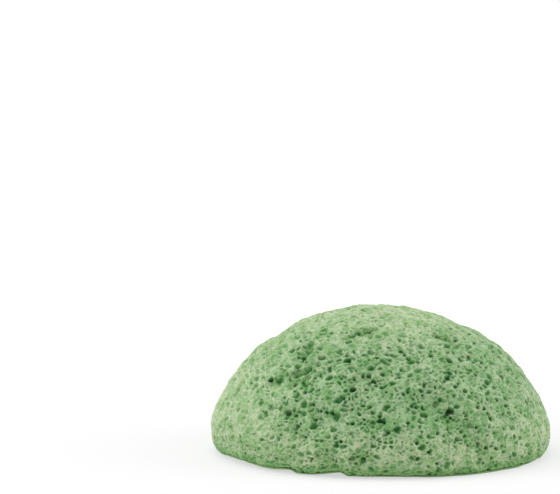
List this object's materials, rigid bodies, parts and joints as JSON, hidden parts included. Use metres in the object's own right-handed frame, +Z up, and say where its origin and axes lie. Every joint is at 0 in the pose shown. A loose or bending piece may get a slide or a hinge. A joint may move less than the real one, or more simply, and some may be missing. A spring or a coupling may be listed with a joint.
{
  "type": "konjac sponge",
  "caption": "Round half-ball konjac face sponge: open-pored soft dome on a smooth flat base, squeezed and rubbed by hand to wash the skin.",
  "frame": {"origin": "middle of the flat underside, on the surface that the sponge rests on", "axes": "+Z up through the crown of the dome; +X to the right and +Y away from the viewer of the picture; the dome is round about Z"},
  "size_m": [0.084, 0.084, 0.036],
  "materials": {
    "crumb": "damp open-celled konjac foam, shaded inside",
    "crust": "damp open-celled konjac foam, pale sage green, matte",
    "base_skin": "smooth closed skin of the same foam, a yellower green"
  },
  "bodies": {
    "root": {"inner_crumb": "crumb", "pored_crust": "crust", "base_skin": "base_skin"}
  },
  "joints": []
}
